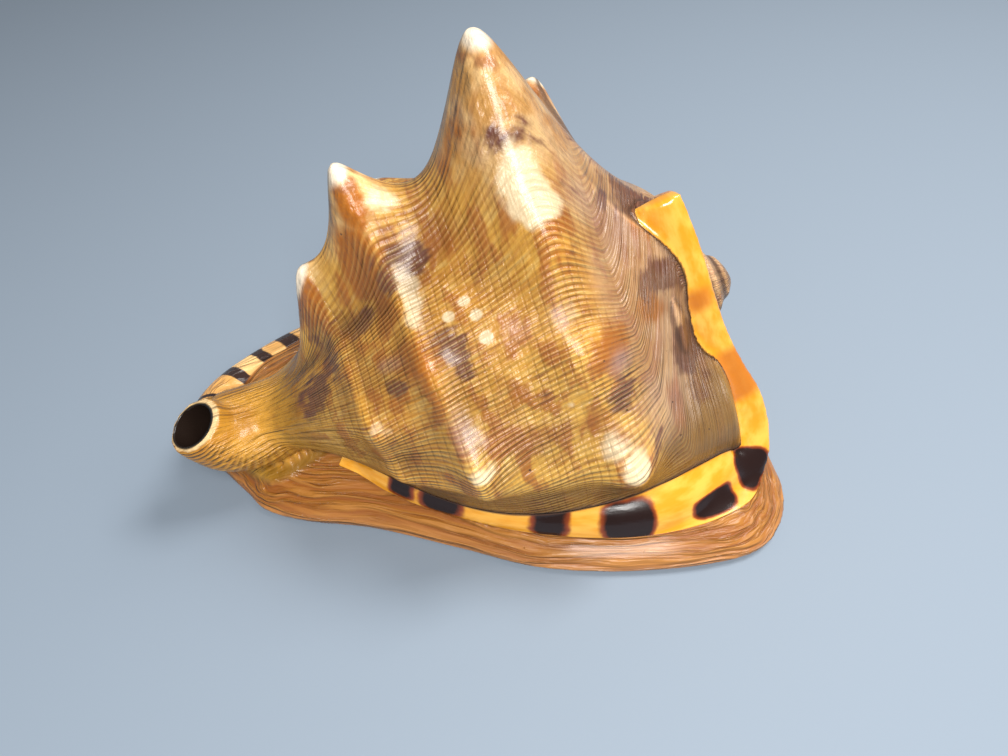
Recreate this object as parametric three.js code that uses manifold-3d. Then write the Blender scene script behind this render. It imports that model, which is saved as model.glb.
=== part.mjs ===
// Horned helmet shell, resting on its mouth. Millimetres, +Z up, table at z = 0.
// X runs from the siphonal canal (-X) to the spire (+X), the parietal shield lies towards -Y.
import * as THREE from 'three';
import { mergeGeometries, mergeVertices } from 'three/addons/utils/BufferGeometryUtils.js';
import Module from 'manifold-3d';

// Driving dimensions
const CENTRE = [-16.95, 0.55]; // plan centre of the finished shell, moved to the origin

const APEX = new THREE.Vector3(84, 4, 56);       // tip of the spire, on the coil axis
const CANAL_END = new THREE.Vector3(-110, -30, 26); // other end of the coil axis
const NECK = 14;            // radius of the neck at the canal
const GROWTH = 1.62;        // growth of the whorls in one turn
const SPIRE_R = 62;         // radius the spire whorls grow out of

// newest whorl, by angle round the axis (0 = back of the shell, + = towards the outer lip):
// angle, radius, distance of the shoulder from the apex, slope of the ramp, end of the side
const STATIONS = [
  [-135, 66, 54, 0.05, 180], [-111, 67, 57, 0.30, 181], [-90, 62, 62, 0.80, 186],
  [-60, 59, 67, 0.72, 190], [-30, 60, 70, 0.50, 184], [0, 62, 71, 0.42, 178],
  [45, 67, 72, 0.50, 180], [90, 72, 75, 0.60, 186], [125, 74, 76, 0.60, 190],
  [180, 68, 62, 0.30, 182],
];
// suture of the newest whorl: angle, distance from the apex
const SUTURE = [[-180, 26], [-135, 18], [-111, 20], [-90, 22], [-30, 23], [15, 26], [60, 44], [125, 48]];

// horns and knobs: angle, distance from the apex, height, reach, rounding, lean in degrees
const KNOBS = [
  [6, 74, 48, 40, 6, 2], [-24, 71, 8, 20, 5, 0], [-55, 70, 4, 20, 5, 0], [-97, 63, 9, 20, 5, 0],
  [38, 62, 24, 24, 4, -18], [88, 78, 26, 32, 5, -5],
  [4, 121, 31, 24, 5, 8], [-45, 118, 3, 20, 5, 0], [-84, 112, 7, 20, 5, 0],
  [48, 121, 14, 26, 5, 0], [85, 124, 10, 26, 5, 0],
  [2, 145, 20, 20, 5, 8], [-64, 140, 6, 20, 5, 0], [48, 142, 8, 20, 5, 0],
];

// folds that join the lower rows of knobs: distance from the apex at angle 0, drift, height, width
const FOLDS = [[121, 0.102, 2.6, 4.5], [145, 0.078, 2.2, 4]];
// keel above the old rim, where the side turns down to it
const KEEL = { angle: -90, height: 3.4, spread: 7, front: 60, back: 148 };

// old mouth rim the newest whorl grew out of: it stands nearly upright, facing -Y
const RIM_NORMAL = new THREE.Vector3(0, -0.94, 0.34).normalize();
const RIM_DISTANCE = 46;
const RIM_FACE = new THREE.Vector3(0, -0.88, 0.47).normalize();
const RIM_FALL = 1.2; // how fast the whorl falls away behind the rim
// centre line of the rim band: x, y, z, half width
const RIM_LINE = [
  [-62, -40, 17, 4.5], [-45, -53, 16.5, 5], [-20, -65, 16.5, 5.2], [5, -72, 16.5, 5.2],
  [30, -74.5, 16, 5.5], [50, -71.5, 15.5, 6], [66, -63, 14.5, 7], [78, -53, 14, 8],
  [80.5, -44, 20, 8], [78, -38, 31, 7.5], [72, -33.5, 42, 6.6], [66.5, -29, 54, 5.6],
  [62, -25, 66, 5.2], [57.5, -20.5, 78, 5.5], [53, -16, 89, 5.6], [48, -11.5, 101, 5],
];
// cross-section of the band: across in half widths, out of the face in mm
const RIM_SECTION = [
  [-1, 0], [0, 1.1], [0.92, 0.1], [1, -1.5], [0.95, -6], [0.5, -9], [-1.4, -10], [-1.9, -4],
];

// plan outline of the shield and outer lip, counter-clockwise
const OUTLINE = [
  [-106, -42], [-98, -50], [-82, -56], [-57, -61], [-25, -72], [0, -81], [27, -85], [56, -85],
  [77, -81], [88, -71], [93, -57], [92, -40], [90, -15], [88, 15], [82, 42], [64, 64], [36, 76],
  [0, 76], [-36, 66], [-66, 48], [-92, 28], [-112, 12], [-124, -4], [-124, -22], [-114, -34],
];
// edge of the shield: height, inset from the outline, and height where it becomes the outer lip
const SHIELD_EDGE = [
  [0, 3, 0], [1, 0.8, 2], [3, 0, 7], [5, 1.4, 13], [7.5, 4.5, 19], [10, 8.5, 23], [12.5, 14, 25.5], [19, 21, 28],
];
const LIP_SIDE = [-30, 15]; // y over which the shield edge turns into the lip
const CORNER = { x: 84, y: -66, spread: 22, widen: 0.45 }; // wider shield at its rear corner

// outer lip rolled up towards the canal: x, y, z, radius
const LIP_ROLL = [
  [-30, 60, 8, 8], [-66, 41, 11, 9], [-92, 21, 14, 9.5], [-110, 2, 17, 9], [-117, -14, 22, 7.5],
  [-116, -26, 27, 6],
];
// siphonal canal, turned up at its end: x, y, z, radius
const CANAL_TUBE = [
  [-86, -25, 28, 13.5], [-98, -31, 27, 14], [-108, -36, 30, 13.5], [-114, -39, 36, 12],
  [-116.5, -40.5, 42.5, 11],
];
const CANAL_BORE = [
  [-52, 4, 26, 6], [-72, -12, 25, 7], [-90, -25, 26, 7.5], [-104, -34, 28.5, 8],
  [-112, -38, 35, 8], [-119, -42, 48, 9],
];

// living chamber and mouth slot
const CHAMBER = { from: 15, to: 152, front: 50, back: 152, inner: 24, wall: 8, floor: 9 };
const SLOT = { front: -84, back: 44, near: 15, far: 33, bow: 6, teeth: 7, depth: 3, top: 16 };

const BODY_AROUND = 74; // facets round the axis
const BODY_STEP = 4.7;  // facets along it, set to fall on the rows of horns
const ROW_OF_HORNS = 74;

// Small maths
const rad = THREE.MathUtils.degToRad;
const clamp01 = (x) => Math.min(Math.max(x, 0), 1);
const ease = (x) => { const s = clamp01(x); return s * s * (3 - 2 * s); };

function softMin(a, b, width) {
  const h = clamp01(0.5 + (0.5 * (b - a)) / width);
  return b + (a - b) * h - width * h * (1 - h);
}

// smooth value at an angle, through a closed list of [angle, ...values]
function around(table, angle, column = 1) {
  const n = table.length;
  const at = (i) => {
    const turn = Math.floor(i / n), row = table[i - turn * n];
    return [row[0] + 360 * turn, row[column]];
  };
  let t = angle;
  while (t < table[0][0]) t += 360;
  while (t >= table[0][0] + 360) t -= 360;
  let i = 0;
  while (at(i + 1)[0] <= t) i += 1;
  const [p, a, b, q] = [at(i - 1), at(i), at(i + 1), at(i + 2)];
  const h = b[0] - a[0], s = (t - a[0]) / h;
  const m0 = ((b[1] - p[1]) / (b[0] - p[0])) * h, m1 = ((q[1] - a[1]) / (q[0] - a[0])) * h;
  return (2 * s ** 3 - 3 * s ** 2 + 1) * a[1] + (s ** 3 - 2 * s ** 2 + s) * m0
    + (3 * s ** 2 - 2 * s ** 3) * b[1] + (s ** 3 - s ** 2) * m1;
}

// smooth curve through rows of numbers, every column interpolated alike
function curveThrough(rows, count, closed = false) {
  const n = rows.length, spans = closed ? n : n - 1, out = [];
  const row = (i) => {
    if (closed) return rows[(i + n) % n];
    if (i < 0) return rows[0].map((v, k) => 2 * v - rows[1][k]);
    if (i >= n) return rows[n - 1].map((v, k) => 2 * v - rows[n - 2][k]);
    return rows[i];
  };
  for (let c = 0; c < count; c++) {
    const u = (c * spans) / (closed ? count : count - 1);
    const i = Math.min(Math.floor(u), spans - 1), s = u - i;
    const [a, b, d, e] = [row(i - 1), row(i), row(i + 1), row(i + 2)];
    out.push(b.map((v, k) => 0.5 * (2 * v + (d[k] - a[k]) * s
      + (2 * a[k] - 5 * v + 4 * d[k] - e[k]) * s * s + (3 * v - a[k] - 3 * d[k] + e[k]) * s ** 3)));
  }
  return out;
}

// Mesh helpers
// closed skin over rings of points; both ends are closed with a fan
function skin(rings) {
  const n = rings[0].length, points = rings.flat(), index = [];
  const quad = (a, b, c, d) => index.push(a, b, c, a, c, d);
  for (let k = 0; k < rings.length - 1; k++) {
    for (let i = 0; i < n; i++) {
      const j = (i + 1) % n;
      quad(k * n + i, k * n + j, (k + 1) * n + j, (k + 1) * n + i);
    }
  }
  const fan = (ring, start, flip) => {
    const centre = new THREE.Vector3();
    ring.forEach((p) => centre.addScaledVector(p, 1 / n));
    const c = points.push(centre) - 1;
    for (let i = 0; i < n; i++) {
      const a = start + i, b = start + ((i + 1) % n);
      index.push(c, flip ? b : a, flip ? a : b);
    }
  };
  fan(rings[0], 0, true);
  fan(rings[rings.length - 1], (rings.length - 1) * n, false);
  const geometry = new THREE.BufferGeometry().setFromPoints(points);
  geometry.setIndex(index);
  return facingOut(geometry);
}

function facingOut(geometry) {
  const p = geometry.attributes.position, index = geometry.index.array;
  const [a, b, c] = [0, 1, 2].map(() => new THREE.Vector3());
  let volume = 0;
  for (let i = 0; i < index.length; i += 3) {
    a.fromBufferAttribute(p, index[i]);
    b.fromBufferAttribute(p, index[i + 1]);
    c.fromBufferAttribute(p, index[i + 2]);
    volume += a.dot(b.cross(c));
  }
  if (volume < 0) for (let i = 0; i < index.length; i += 3) [index[i], index[i + 1]] = [index[i + 1], index[i]];
  return geometry;
}

// round tube along rows of x, y, z, radius
function tube(rows, stations, sides) {
  const line = curveThrough(rows, stations);
  const centres = line.map(([x, y, z]) => new THREE.Vector3(x, y, z));
  const side = new THREE.Vector3(0, 0, 1);
  return skin(centres.map((c, i) => {
    const along = centres[Math.min(i + 1, stations - 1)].clone().sub(centres[Math.max(i - 1, 0)]).normalize();
    const across = new THREE.Vector3().crossVectors(along, side).normalize();
    const upward = new THREE.Vector3().crossVectors(across, along);
    return Array.from({ length: sides }, (_, k) => {
      const t = (2 * Math.PI * k) / sides;
      return c.clone().addScaledVector(across, line[i][3] * Math.cos(t))
        .addScaledVector(upward, line[i][3] * Math.sin(t));
    });
  }));
}

// Coil axis
const AXIS = APEX.clone().sub(CANAL_END).normalize();
const LENGTH = APEX.distanceTo(CANAL_END);
const BACK = new THREE.Vector3(0, 0, 1).addScaledVector(AXIS, -AXIS.z).normalize();
const LIPWARD = new THREE.Vector3().crossVectors(BACK, AXIS);

const outward = (angle) => BACK.clone().multiplyScalar(Math.cos(rad(angle)))
  .addScaledVector(LIPWARD, Math.sin(rad(angle)));
const place = (angle, along, radius) => APEX.clone().addScaledVector(AXIS, -along)
  .addScaledVector(outward(angle), radius);

// radius at which a ray from the axis meets a level plane below it
function reachDown(angle, along, level) {
  const fall = -outward(angle).z;
  return fall > 0.05 ? (APEX.z - AXIS.z * along - level) / fall : Infinity;
}

// Body whorl
function spireRadius(angle, along) {
  let radius = 0;
  for (let turn = 1; turn <= 4; turn++) {
    const r = SPIRE_R * GROWTH ** (angle / 360 - turn), x = along / r;
    if (x > 0.62 && x < 1.7) radius = Math.max(radius, r * Math.min(1 - (1 - x) * 1.6, 1));
  }
  return radius;
}

function newestRadius(angle, along) {
  const [r, shoulder, slope, end] = [1, 2, 3, 4].map((k) => around(STATIONS, angle, k));
  const s = clamp01((along - shoulder) / (end - shoulder));
  const side = NECK + (r - NECK) * 0.5 * (1 + Math.cos(Math.PI * s ** 1.6));
  const d = shoulder - along;
  return softMin(r - slope * d - 0.0028 * Math.max(d, 0) ** 2, side, 5);
}

// the newest whorl starts at its suture and, on the shield side, at the old rim
function bodyRadius(angle, along) {
  const spire = spireRadius(angle, along), newest = newestRadius(angle, along);
  const fromRim = place(angle, along, newest).dot(RIM_NORMAL) - RIM_DISTANCE;
  const nearSide = ease((5 - angle) / 25) * ease((angle + 178) / 10);
  const behind = RIM_FALL * nearSide * Math.max(-fromRim, 0) * ease((62 - along) / 10);
  const share = ease((along - around(SUTURE, angle)) / 6 + 0.5);
  return Math.max(spire, spire + (newest - behind - spire) * share);
}

function folds(angle, along) {
  let height = 0;
  for (const [start, drift, high, width] of FOLDS) {
    height += high * Math.exp(-(((along - start - drift * angle) / width) ** 2)) * ease((100 - Math.abs(angle)) / 15);
  }
  return height + KEEL.height * Math.exp(-(((angle - KEEL.angle) / KEEL.spread) ** 2))
    * ease((along - KEEL.front) / 12) * ease((KEEL.back - along) / 12);
}

function knobs(angle, along) {
  let height = folds(angle, along), shift = 0;
  for (const [a, q, h, reach, rounding, lean] of KNOBS) {
    const turn = ((angle - a + 540) % 360) - 180;
    const away = Math.hypot(rad(turn) * around(STATIONS, a), along - q);
    const d = Math.hypot(away, rounding) - rounding;
    const lift = h * clamp01(1 - d / reach) ** 2.2;
    height += lift;
    shift += lift * Math.tan(rad(lean));
  }
  return { height, shift };
}

function bodyWhorl() {
  const rings = [], first = Math.ceil(-ROW_OF_HORNS / BODY_STEP), last = (LENGTH - ROW_OF_HORNS) / BODY_STEP;
  for (let j = first; j <= last; j++) {
    const along = Math.max(ROW_OF_HORNS + j * BODY_STEP, 0.6);
    rings.push(Array.from({ length: BODY_AROUND }, (_, i) => {
      const angle = -180 + (360 * i) / BODY_AROUND;
      const { height, shift } = knobs(angle, along);
      const radius = Math.min(bodyRadius(angle, along) + height, reachDown(angle, along, 1.5));
      return place(angle, along + shift, radius);
    }));
  }
  return skin(rings);
}

// Shield, rim, lip
function shield() {
  const edge = curveThrough(OUTLINE, 72, true);
  const n = edge.length;
  return skin(SHIELD_EDGE.map(([low, inset, high]) => edge.map(([x, y], i) => {
    const a = edge[(i + n - 1) % n], b = edge[(i + 1) % n];
    const l = Math.hypot(b[0] - a[0], b[1] - a[1]);
    const near = ((x - CORNER.x) ** 2 + (y - CORNER.y) ** 2) / CORNER.spread ** 2;
    const d = inset * (1 + CORNER.widen * Math.exp(-near));
    const z = low + (high - low) * ease((y - LIP_SIDE[0]) / (LIP_SIDE[1] - LIP_SIDE[0]));
    return new THREE.Vector3(x - ((b[1] - a[1]) / l) * d, y + ((b[0] - a[0]) / l) * d, z);
  })));
}

function oldRim() {
  const count = 44, line = curveThrough(RIM_LINE, count);
  const centres = line.map(([x, y, z]) => new THREE.Vector3(x, y, z));
  return skin(centres.map((c, i) => {
    const along = centres[Math.min(i + 1, count - 1)].clone().sub(centres[Math.max(i - 1, 0)]).normalize();
    const across = new THREE.Vector3().crossVectors(along, RIM_FACE).normalize();
    const out = new THREE.Vector3().crossVectors(across, along);
    return RIM_SECTION.map(([w, h]) => c.clone().addScaledVector(across, w * line[i][3]).addScaledVector(out, h));
  }));
}

// Hollows
function chamber() {
  const { from, to, front, back, inner, wall, floor } = CHAMBER;
  const rings = [], turns = 12, steps = 11;
  for (let i = 0; i < turns; i++) {
    const angle = from + ((to - from) * i) / (turns - 1);
    const open = Math.sqrt(clamp01((angle - from + 4) / 40));
    const outer = [], core = [];
    for (let j = 0; j < steps; j++) {
      const u = j / (steps - 1), along = front + (back - front) * u;
      const full = Math.min(newestRadius(angle, along) - wall, reachDown(angle, along, floor));
      const round = Math.sqrt(Math.max(1 - (2 * u - 1) ** 4, 0.02));
      outer.push(place(angle, along, inner + Math.max(full - inner, 2) * open * round));
      core.unshift(place(angle, along, inner));
    }
    rings.push([...outer, ...core]);
  }
  return skin(rings);
}

// slot with a toothed outer edge, drawn in plan and stood up
function mouthSlot() {
  const { front, back, near, far, bow, teeth, depth, top } = SLOT;
  const side = (u, y) => y + bow * Math.sin(Math.PI * u) - 18 * (1 - u) ** 2;
  const plan = [], steps = teeth * 6;
  for (let i = 0; i <= 12; i++) plan.push([front + ((back - front) * i) / 12, side(i / 12, near)]);
  for (let i = steps; i >= 0; i--) {
    const u = i / steps, tooth = Math.max(0, Math.sin(2 * Math.PI * teeth * u)) * depth;
    plan.push([front + (back - front) * u, side(u, far) - tooth - 5 * (1 - u)]);
  }
  const geometry = new THREE.ExtrudeGeometry(
    new THREE.Shape(plan.map(([x, y]) => new THREE.Vector2(x, y))),
    { depth: top + 5, bevelEnabled: false },
  );
  return geometry.translate(0, 0, -5);
}

// Joining
function bare(geometry) {
  const plain = geometry.index ? geometry : mergeVertices(geometry);
  plain.deleteAttribute('normal');
  plain.deleteAttribute('uv');
  return mergeVertices(plain, 1e-4);
}

const wasm = await Module();
wasm.setup();

function solid(geometry) {
  const g = bare(geometry);
  return new wasm.Manifold(new wasm.Mesh({
    numProp: 3,
    vertProperties: Float32Array.from(g.attributes.position.array),
    triVerts: Uint32Array.from(g.index.array),
  }));
}

function helmetShell() {
  let shell = solid(shield());
  for (const form of [bodyWhorl(), oldRim(), tube(LIP_ROLL, 13, 10), tube(CANAL_TUBE, 11, 14)]) {
    shell = shell.add(solid(form));
  }
  for (const hollow of [chamber(), mouthSlot(), tube(CANAL_BORE, 11, 10)]) {
    shell = shell.subtract(solid(hollow));
  }
  const { vertProperties, triVerts } = shell.getMesh();
  const geometry = new THREE.BufferGeometry();
  geometry.setAttribute('position', new THREE.BufferAttribute(vertProperties, 3));
  geometry.setIndex(new THREE.BufferAttribute(triVerts, 1));
  geometry.translate(-CENTRE[0], -CENTRE[1], 0);
  geometry.computeVertexNormals();
  const mesh = new THREE.Mesh(geometry, new THREE.MeshStandardMaterial({
    color: 0xd39a4c, roughness: 0.35, metalness: 0,
  }));
  mesh.name = 'helmet_shell';
  return mesh;
}

const group = new THREE.Group();
group.add(helmetShell());

export default group;
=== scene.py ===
# %% [markdown]
# A horned helmet shell
#
# This lesson builds one big sea shell, lying on its mouth. The CAD model beside it
# holds the shell's true size and main forms. Here the same named measures are used
# again with many more points, so that the surface can be smooth and finely marked.

# %% Load the CAD frame
import math

import bpy
import numpy as np
from mathutils import Matrix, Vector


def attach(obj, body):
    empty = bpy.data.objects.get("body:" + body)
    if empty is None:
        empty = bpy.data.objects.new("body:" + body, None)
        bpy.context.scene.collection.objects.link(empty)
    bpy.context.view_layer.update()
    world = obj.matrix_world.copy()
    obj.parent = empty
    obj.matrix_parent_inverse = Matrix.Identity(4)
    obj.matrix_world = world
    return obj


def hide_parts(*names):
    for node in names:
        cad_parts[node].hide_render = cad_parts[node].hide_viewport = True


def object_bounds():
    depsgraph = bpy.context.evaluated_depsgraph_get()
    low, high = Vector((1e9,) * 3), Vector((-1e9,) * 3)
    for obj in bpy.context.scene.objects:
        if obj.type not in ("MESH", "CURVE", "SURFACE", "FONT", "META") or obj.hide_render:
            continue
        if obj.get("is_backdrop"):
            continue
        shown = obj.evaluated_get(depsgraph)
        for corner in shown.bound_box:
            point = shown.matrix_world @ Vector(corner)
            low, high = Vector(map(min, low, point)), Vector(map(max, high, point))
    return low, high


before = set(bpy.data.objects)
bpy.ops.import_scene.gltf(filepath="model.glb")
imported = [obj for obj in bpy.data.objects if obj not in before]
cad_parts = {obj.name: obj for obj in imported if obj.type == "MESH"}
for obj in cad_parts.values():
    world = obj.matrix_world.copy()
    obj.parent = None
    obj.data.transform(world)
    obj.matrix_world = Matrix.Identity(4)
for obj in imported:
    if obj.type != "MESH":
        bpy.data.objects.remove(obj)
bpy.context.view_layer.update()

# %% [markdown]
# The shell's measures
#
# A snail builds its shell as a tube that winds round an axis and grows as it turns.
# So every point of the body is named by three numbers: an angle round the coil axis,
# a distance along it from the tip of the spire, and a radius. The lists below say how
# big the newest whorl is at ten angles, where its horns stand, and where the flat
# shield, the old rim and the canal run. They are in millimetres, as in the CAD source.

# %% Measures of the whorl
CENTRE = np.array([-16.95, 0.55, 0.0])
APEX = np.array([84.0, 4.0, 56.0])
CANAL_END = np.array([-110.0, -30.0, 26.0])
NECK = 14.0
GROWTH = 1.62
SPIRE_R = 62.0
SPIRE_FRONT, SPIRE_BACK, SPIRE_SLOPE = 0.62, 1.7, 1.6
SIDE_POWER = 1.6
RAMP_SAG = 0.0028
SHOULDER_ROUND = 5
HORN_POWER = 2.2
UNDERSIDE = 1.5
# angle, radius, shoulder, ramp slope, end of the side
STATIONS = np.array([
    (-135, 66, 54, 0.05, 180), (-111, 67, 57, 0.30, 181), (-90, 62, 62, 0.80, 186),
    (-60, 59, 67, 0.72, 190), (-30, 60, 70, 0.50, 184), (0, 62, 71, 0.42, 178),
    (45, 67, 72, 0.50, 180), (90, 72, 75, 0.60, 186), (125, 74, 76, 0.60, 190),
    (180, 68, 62, 0.30, 182)], float)
SUTURE = np.array([
    (-180, 26), (-135, 18), (-111, 20), (-90, 22), (-30, 23), (15, 26), (60, 44), (125, 48)], float)
# angle, distance, height, reach, rounding, lean
KNOBS = [
    (6, 74, 48, 40, 6, 2), (-24, 71, 8, 20, 5, 0), (-55, 70, 4, 20, 5, 0), (-92, 63, 9.5, 19, 4, 0),
    (38, 62, 24, 24, 4, -18), (88, 78, 26, 32, 5, -5), (4, 121, 31, 24, 5, 8), (-45, 118, 3, 20, 5, 0),
    (-79, 111, 8, 19, 4, 0), (48, 121, 14, 26, 5, 0), (85, 124, 10, 26, 5, 0), (2, 145, 20, 20, 5, 8),
    (-62, 139, 6.5, 19, 4.5, 0), (48, 142, 8, 20, 5, 0)]
# distance from the tip at angle 0, drift, height, width
FOLDS = [(121, 0.102, 2.6, 4.5), (145, 0.078, 2.2, 4)]
KEEL = dict(angle=-90, height=3.4, spread=7, front=60, back=148)
print(len(STATIONS), "stations,", len(KNOBS), "horns and knobs,", len(FOLDS), "folds")

# %% Measures of rim, shield, lip and canal
RIM_DISTANCE, RIM_FALL = 46.0, 1.2
RIM_LINE = [
    (-62, -40, 17, 4.5), (-45, -53, 16.5, 5), (-20, -65, 16.5, 5.2), (5, -72, 16.5, 5.2),
    (30, -74.5, 16, 5.5), (50, -71.5, 15.5, 6), (66, -63, 14.5, 7), (78, -53, 14, 8),
    (80.5, -44, 20, 8), (78, -38, 31, 7.5), (72, -33.5, 42, 6.6), (66.5, -29, 54, 5.6),
    (62, -25, 66, 5.2), (57.5, -20.5, 78, 5.5), (53, -16, 89, 5.6), (48, -11.5, 101, 5)]
RIM_SECTION = [(-1, 0), (0, 1.1), (0.92, 0.1), (1, -1.5), (0.95, -6), (0.5, -9), (-1.4, -10), (-1.9, -4)]
OUTLINE = [
    (-106, -42), (-98, -50), (-82, -56), (-57, -61), (-25, -72), (0, -81), (27, -85), (56, -85),
    (77, -81), (88, -71), (93, -57), (92, -40), (90, -15), (88, 15), (82, 42), (64, 64), (36, 76),
    (0, 76), (-36, 66), (-66, 48), (-92, 28), (-112, 12), (-124, -4), (-124, -22), (-114, -34)]
# height on the shield side, inset, height on the lip side
SHIELD_EDGE = [(0, 3, 0), (1, 0.8, 2), (3, 0, 7), (5, 1.4, 13), (7.5, 4.5, 19), (10, 8.5, 23),
               (12.5, 14, 25.5), (19, 21, 28)]
LIP_SIDE = (-30, 15)
CORNER = dict(x=84, y=-66, spread=22, widen=0.45)
LIP_ROLL = [(-30, 60, 8, 8), (-66, 41, 11, 9), (-92, 21, 14, 9.5), (-110, 2, 17, 9),
            (-117, -14, 22, 7.5), (-116, -26, 27, 6)]
CANAL_TUBE = [(-86, -25, 28, 13.5), (-97, -31, 27, 14), (-106, -35.5, 30, 13.2), (-111, -38.5, 36, 11.2),
              (-113.5, -40, 42, 10.4)]
CANAL_BORE = [(-52, 4, 26, 6), (-72, -12, 25, 7), (-90, -25, 26, 7.5), (-104, -34, 28.5, 8),
              (-110, -38, 35, 7.4), (-118, -41.5, 48, 8.6)]
CHAMBER = dict(start=15, end=152, front=50, back=152, inner=24, wall=8, floor=9)
SLOT = dict(front=-84, back=44, near=15, far=33, bow=6, teeth=7, depth=3, top=16)
print(len(OUTLINE), "points round the outline,", len(RIM_LINE), "along the old rim")

# %% [markdown]
# Small maths
#
# A few short helpers turn those lists into smooth curves: one goes once round the
# axis and closes on itself, one runs through points in space, and the soft minimum
# lets two slopes meet in a rounded ridge instead of a hard corner.

# %% Small maths
def unit(v):
    v = np.asarray(v, float)
    return v / np.linalg.norm(v)


def ease(x):
    x = np.clip(x, 0, 1)
    return x * x * (3 - 2 * x)


def soft_min(a, b, width):
    h = np.clip(0.5 + 0.5 * (b - a) / width, 0, 1)
    return b + (a - b) * h - width * h * (1 - h)


def around(table, column, angle):
    a, v, n = table[:, 0], table[:, column], len(table)
    knots = np.concatenate([a[-2:] - 360, a, a[:2] + 360])
    value = np.concatenate([v[-2:], v, v[:2]])
    t = (np.asarray(angle, float) - a[0]) % 360 + a[0]
    i = np.clip(np.searchsorted(knots, t, side="right") - 1, 1, n + 1)
    h = knots[i + 1] - knots[i]
    s = (t - knots[i]) / h
    m0 = (value[i + 1] - value[i - 1]) / (knots[i + 1] - knots[i - 1]) * h
    m1 = (value[i + 2] - value[i]) / (knots[i + 2] - knots[i]) * h
    return ((2 * s**3 - 3 * s**2 + 1) * value[i] + (s**3 - 2 * s**2 + s) * m0
            + (3 * s**2 - 2 * s**3) * value[i + 1] + (s**3 - s**2) * m1)


def curve_at(rows, u, closed=False):
    p, n = np.array(rows, float), len(rows)
    if closed:
        q, spans = np.concatenate([p[-1:], p, p[:2]]), n
    else:
        q, spans = np.concatenate([2 * p[:1] - p[1:2], p, 2 * p[-1:] - p[-2:-1]]), n - 1
    x = np.clip(np.asarray(u, float), 0, 1) * spans
    i = np.minimum(x.astype(int), spans - 1)
    s = (x - i)[:, None]
    a, b, c, d = q[i], q[i + 1], q[i + 2], q[i + 3]
    return 0.5 * (2 * b + (c - a) * s + (2 * a - 5 * b + 4 * c - d) * s * s + (3 * b - a - 3 * c + d) * s**3)


print("a soft minimum of 10 and 10 is", float(soft_min(10.0, 10.0, 4.0)))

# %% The coil axis
AXIS = unit(APEX - CANAL_END)
LENGTH = np.linalg.norm(APEX - CANAL_END)
BACK = unit(np.array([0, 0, 1.0]) - AXIS[2] * AXIS)
LIPWARD = np.cross(BACK, AXIS)
RIM_NORMAL = unit([0, -0.94, 0.34])
RIM_FACE = unit([0, -0.88, 0.47])


def outward(angle):
    t = np.radians(angle)
    return np.cos(t)[..., None] * BACK + np.sin(t)[..., None] * LIPWARD


def place(angle, along, radius):
    return APEX - along[..., None] * AXIS + radius[..., None] * outward(angle)


def coil_place(points):
    d = points - APEX
    along = -(d @ AXIS)
    off = d + along[:, None] * AXIS
    return np.degrees(np.arctan2(off @ LIPWARD, off @ BACK)), along, np.linalg.norm(off, axis=1)


print("coil axis", np.round(AXIS, 3), "length", round(LENGTH, 1))

# %% [markdown]
# The whorl as one formula
#
# The body is one rounded surface round the axis. Towards the canal it narrows in an
# S-curve; towards the spire it falls away over the ramp; behind the old rim the
# smaller, older whorls show. Each horn is a smooth hill that is added to the radius.

# %% Whorl formula
def spire_radius(angle, along):
    radius = np.zeros_like(along)
    # every turn back towards the tip is smaller by the same growth
    for turn in (1, 2, 3, 4):
        r = SPIRE_R * GROWTH ** (angle / 360 - turn)
        x = along / r
        radius = np.maximum(radius, np.where((x > SPIRE_FRONT) & (x < SPIRE_BACK),
                                             r * np.minimum(1 - (1 - x) * SPIRE_SLOPE, 1), 0))
    return radius


def newest_radius(angle, along):
    r, shoulder, slope, end = (around(STATIONS, k, angle) for k in (1, 2, 3, 4))
    s = np.clip((along - shoulder) / (end - shoulder), 0, 1)
    side = NECK + (r - NECK) * 0.5 * (1 + np.cos(np.pi * s**SIDE_POWER))
    d = shoulder - along
    return soft_min(r - slope * d - RAMP_SAG * np.maximum(d, 0) ** 2, side, SHOULDER_ROUND)


def body_radius(angle, along):
    spire, newest = spire_radius(angle, along), newest_radius(angle, along)
    from_rim = place(angle, along, newest) @ RIM_NORMAL - RIM_DISTANCE
    # behind the old rim, on the shield's side, the whorl sinks to an older level
    near = ease((5 - angle) / 25) * ease((angle + 178) / 10)
    behind = RIM_FALL * near * np.maximum(-from_rim, 0) * ease((62 - along) / 10)
    share = ease((along - around(SUTURE, 1, angle)) / 6 + 0.5)
    return np.maximum(spire, spire + (newest - behind - spire) * share)


def fold_lift(angle, along):
    height = KEEL["height"] * np.exp(-(((angle - KEEL["angle"]) / KEEL["spread"]) ** 2))
    height = height * ease((along - KEEL["front"]) / 12) * ease((KEEL["back"] - along) / 12)
    for start, drift, high, width in FOLDS:
        off = (along - start - drift * angle) / width
        height += high * np.exp(-(off**2)) * ease((100 - np.abs(angle)) / 15)
    return height


def knob_lift(angle, along):
    height, shift = fold_lift(angle, along), np.zeros_like(along)
    for a, q, h, reach, rounding, lean in KNOBS:
        turn = (angle - a + 540) % 360 - 180
        away = np.hypot(np.radians(turn) * around(STATIONS, 1, a), along - q)
        d = np.hypot(away, rounding) - rounding
        lift = h * np.clip(1 - d / reach, 0, 1) ** HORN_POWER
        height, shift = height + lift, shift + lift * math.tan(math.radians(lean))
    return height, shift


def reach_down(angle, along, level):
    fall = -outward(angle)[..., 2]
    drop = APEX[2] - AXIS[2] * along - level
    return np.where(fall > 0.05, drop / np.maximum(fall, 0.05), 1e3)


print("radius at the tall horn, mm:", np.round(body_radius(np.array([6.0]), np.array([74.0])), 1))

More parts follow.
